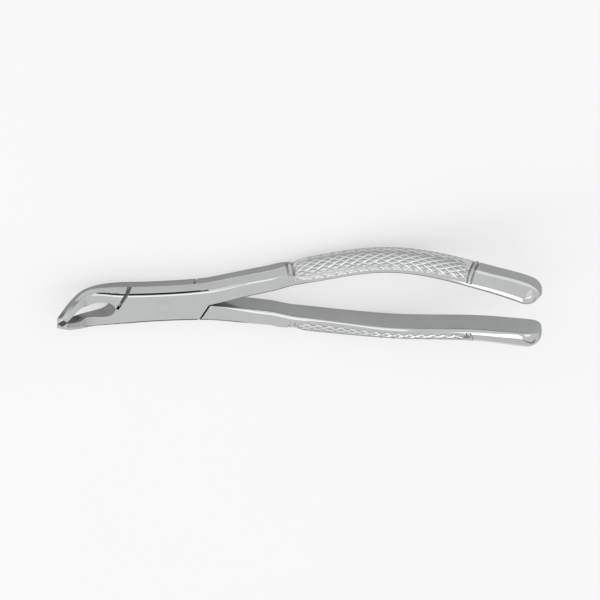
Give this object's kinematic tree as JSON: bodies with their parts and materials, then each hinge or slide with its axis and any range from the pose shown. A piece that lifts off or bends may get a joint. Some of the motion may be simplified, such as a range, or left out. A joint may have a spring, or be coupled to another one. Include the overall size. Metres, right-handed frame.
{
  "type": "extraction forceps",
  "caption": "Dental extraction forceps: curved hollow beaks on forged halves that lap at a shouldered joint and turn on a flush rivet, with bowed diamond-cut handles.",
  "frame": {"origin": "on the pivot axis, at the flat back of the joint", "axes": "+X along the forceps from the beaks to the handle ends, +Y towards the handle of the front half, +Z along the pivot towards the front, the side that beaks and handles curve to; the stored pose, beaks closed and lying on its back, is the rest pose"},
  "size_m": [0.1696, 0.035, 0.0294],
  "materials": {
    "forging": "satin polished",
    "rivet": "ground flush and satin polished"
  },
  "bodies": {
    "rear_half": {"rear_half": "forging", "pivot_rivet": "rivet"},
    "front_half": {"front_half": "forging"}
  },
  "joints": [
    {"name": "pivot_hinge", "type": "hinge", "parent": "rear_half", "child": "front_half", "pos_m": [0, 0, 0], "axis": [0, 0, 1], "range_deg": [0, 35]}
  ]
}
